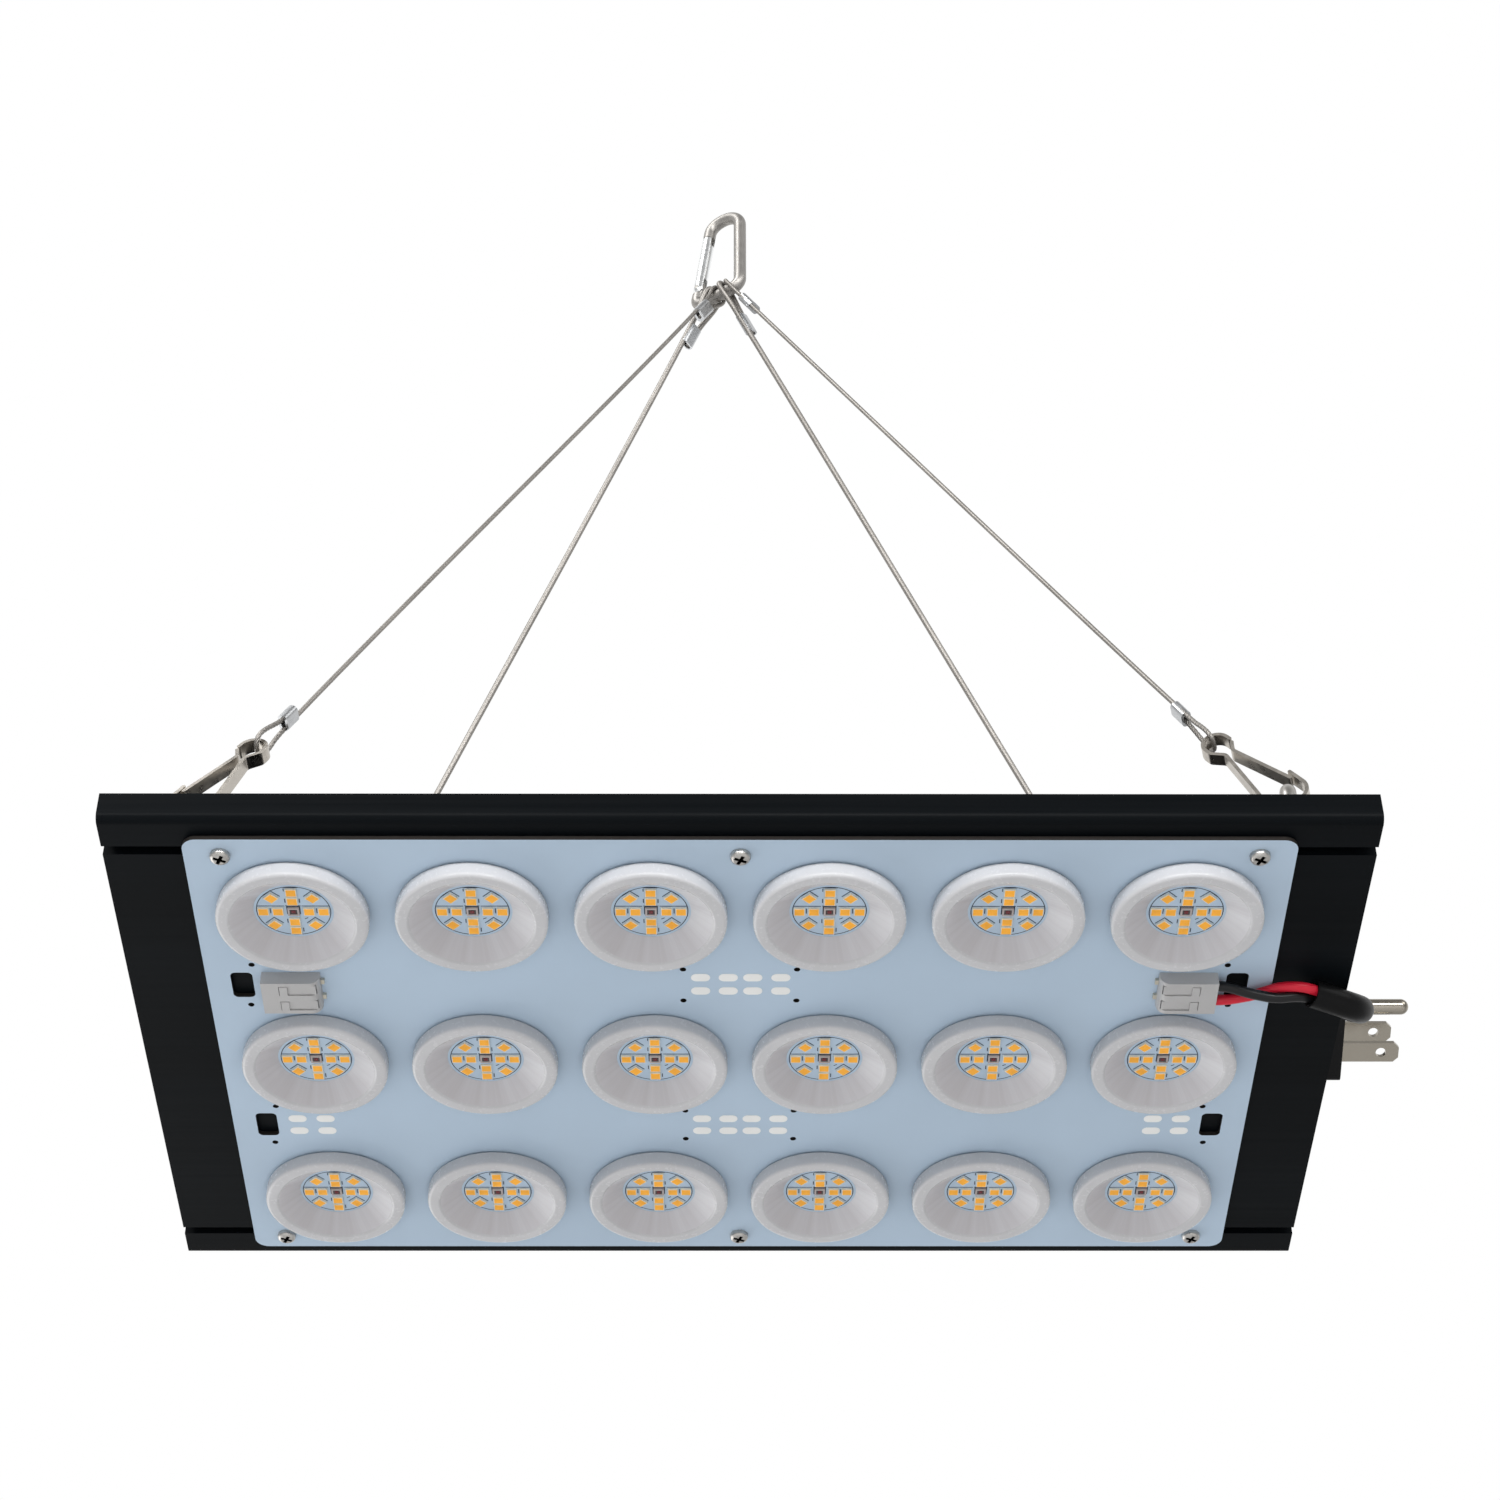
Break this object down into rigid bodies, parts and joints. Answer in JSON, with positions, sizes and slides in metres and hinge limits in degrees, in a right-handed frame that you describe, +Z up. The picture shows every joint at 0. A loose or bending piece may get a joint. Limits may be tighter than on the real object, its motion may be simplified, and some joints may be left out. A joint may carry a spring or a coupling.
{
  "type": "led grow light",
  "caption": "Hanging LED grow light: finned panel with LED board and reflector cups, rope hangers with snap hooks, carabiner, driver and plugged mains cord.",
  "frame": {"origin": "inside of the carabiner's top bend, where the lamp hangs", "axes": "+Z up, X along the panel with the lead's terminal at +X, +Y across the panel towards the side away from the wired terminal row"},
  "size_m": [0.3754, 0.206, 0.3952],
  "materials": {
    "black_anodised": "satin black anodised extrusion",
    "thermal_pad": "matt grey",
    "white_board": "white solder mask, slightly blue",
    "solder": "tinned",
    "white_led": "orange phosphor",
    "red_led": "clear lens over a red die",
    "reflector_white": "semi-gloss moulded",
    "zinc_steel": "zinc plated",
    "terminal_white": "semi-matt moulded",
    "contact_metal": "tinned",
    "carabiner_steel": "satin",
    "wire_rope": "twisted steel under a clear coat",
    "ferrule_aluminium": "crimped",
    "nickel_strip": "nickel plated",
    "driver_black": "satin black",
    "driver_cap_black": "satin black",
    "circuit_green": "solder mask",
    "ferrite": "ferrite and tape",
    "capacitor_can": "sleeved can",
    "black_rubber": "moulded",
    "cord_black": "smooth PVC jacket",
    "tie_fabric": "hook and loop",
    "plug_metal": "nickel plated",
    "plug_black": "moulded PVC",
    "wire_black": "smooth insulation",
    "wire_red": "smooth insulation"
  },
  "bodies": {
    "carabiner": {"carabiner_body": "carabiner_steel", "carabiner_gate_pin": "carabiner_steel"},
    "lamp": {"heat_sink": "black_anodised", "thermal_pad": "thermal_pad", "led_board": "white_board", "solder_pads": "solder", "white_leds": "white_led", "red_leds": "red_led", "reflectors_near_row": "reflector_white", "reflectors_middle_row": "reflector_white", "reflectors_far_row": "reflector_white", "board_screws": "zinc_steel", "terminal_left": "terminal_white", "terminal_right": "terminal_white", "terminal_contacts": "contact_metal", "rope_far_left": "wire_rope", "snap_hook_far_left": "nickel_strip", "rope_near_left": "wire_rope", "snap_hook_near_left": "nickel_strip", "rope_far_right": "wire_rope", "snap_hook_far_right": "nickel_strip", "rope_near_right": "wire_rope", "snap_hook_near_right": "nickel_strip", "upper_ferrules": "ferrule_aluminium", "lower_ferrules": "ferrule_aluminium", "eyebolts": "zinc_steel", "eyebolt_nuts": "zinc_steel", "driver_case": "driver_black", "driver_cap_left": "driver_cap_black", "driver_cap_right": "driver_cap_black", "driver_cap_screws": "zinc_steel", "driver_foot_screws": "zinc_steel", "driver_circuit_board": "circuit_green", "driver_transformer": "ferrite", "driver_capacitors": "capacitor_can", "mains_strain_relief": "black_rubber", "mains_cord": "cord_black", "mains_cord_coil": "cord_black", "cord_tie": "tie_fabric", "plug_pins": "plug_metal", "plug_body": "plug_black", "lead_strain_relief": "black_rubber", "lead_sheath": "cord_black", "black_wire": "wire_black", "red_wire": "wire_red"},
    "carabiner_gate": {"carabiner_gate": "carabiner_steel"},
    "release_lever_left_near": {"release_lever_left_near": "terminal_white"},
    "release_lever_left_far": {"release_lever_left_far": "terminal_white"},
    "release_lever_right_near": {"release_lever_right_near": "terminal_white"},
    "release_lever_right_far": {"release_lever_right_far": "terminal_white"},
    "hook_gate_far_left": {"hook_gate_far_left": "nickel_strip"},
    "hook_gate_near_left": {"hook_gate_near_left": "nickel_strip"},
    "hook_gate_far_right": {"hook_gate_far_right": "nickel_strip"},
    "hook_gate_near_right": {"hook_gate_near_right": "nickel_strip"}
  },
  "joints": [
    {"name": "lamp_swing", "type": "hinge", "parent": "carabiner", "child": "lamp", "pos_m": [-0.00131, 0.00092, -0.03941], "axis": [0.8192, -0.5736, 0], "range_deg": [-20, 20]},
    {"name": "carabiner_gate_hinge", "type": "hinge", "parent": "carabiner", "child": "carabiner_gate", "pos_m": [-0.00807, 0.00565, -0.03051], "axis": [0.5736, 0.8192, 0], "range_deg": [0, 20], "stiffness_Nm_per_rad": 0.1, "springref_deg": -20.05},
    {"name": "hook_gate_far_left_hinge", "type": "hinge", "parent": "lamp", "child": "hook_gate_far_left", "pos_m": [-0.13611, 0.06854, -0.32245], "axis": [-0.2499, -0.9623, -0.107], "range_deg": [0, 10], "stiffness_Nm_per_rad": 0.05, "springref_deg": -8.59},
    {"name": "hook_gate_near_left_hinge", "type": "hinge", "parent": "lamp", "child": "hook_gate_near_left", "pos_m": [-0.13746, -0.06635, -0.32596], "axis": [-0.0842, -0.9603, 0.2659], "range_deg": [0, 10], "stiffness_Nm_per_rad": 0.05, "springref_deg": -8.59},
    {"name": "hook_gate_far_right_hinge", "type": "hinge", "parent": "lamp", "child": "hook_gate_far_right", "pos_m": [0.14756, 0.06835, -0.32295], "axis": [-0.25, 0.9623, 0.1072], "range_deg": [0, 10], "stiffness_Nm_per_rad": 0.05, "springref_deg": -8.59},
    {"name": "hook_gate_near_right_hinge", "type": "hinge", "parent": "lamp", "child": "hook_gate_near_right", "pos_m": [0.14767, -0.06698, -0.32279], "axis": [0.2438, 0.9652, -0.095], "range_deg": [0, 10], "stiffness_Nm_per_rad": 0.05, "springref_deg": -8.59},
    {"name": "release_lever_left_near_hinge", "type": "hinge", "parent": "lamp", "child": "release_lever_left_near", "pos_m": [-0.1127, -0.0354, -0.38675], "axis": [0, 1, 0], "range_deg": [0, 4], "stiffness_Nm_per_rad": 0.02, "springref_deg": -5.73},
    {"name": "release_lever_left_far_hinge", "type": "hinge", "parent": "lamp", "child": "release_lever_left_far", "pos_m": [-0.1127, -0.0288, -0.38675], "axis": [0, 1, 0], "range_deg": [0, 4], "stiffness_Nm_per_rad": 0.02, "springref_deg": -5.73},
    {"name": "release_lever_right_near_hinge", "type": "hinge", "parent": "lamp", "child": "release_lever_right_near", "pos_m": [0.1251, -0.0354, -0.38675], "axis": [0, -1, 0], "range_deg": [0, 4], "stiffness_Nm_per_rad": 0.02, "springref_deg": -5.73},
    {"name": "release_lever_right_far_hinge", "type": "hinge", "parent": "lamp", "child": "release_lever_right_far", "pos_m": [0.1251, -0.0288, -0.38675], "axis": [0, -1, 0], "range_deg": [0, 4], "stiffness_Nm_per_rad": 0.02, "springref_deg": -5.73}
  ]
}
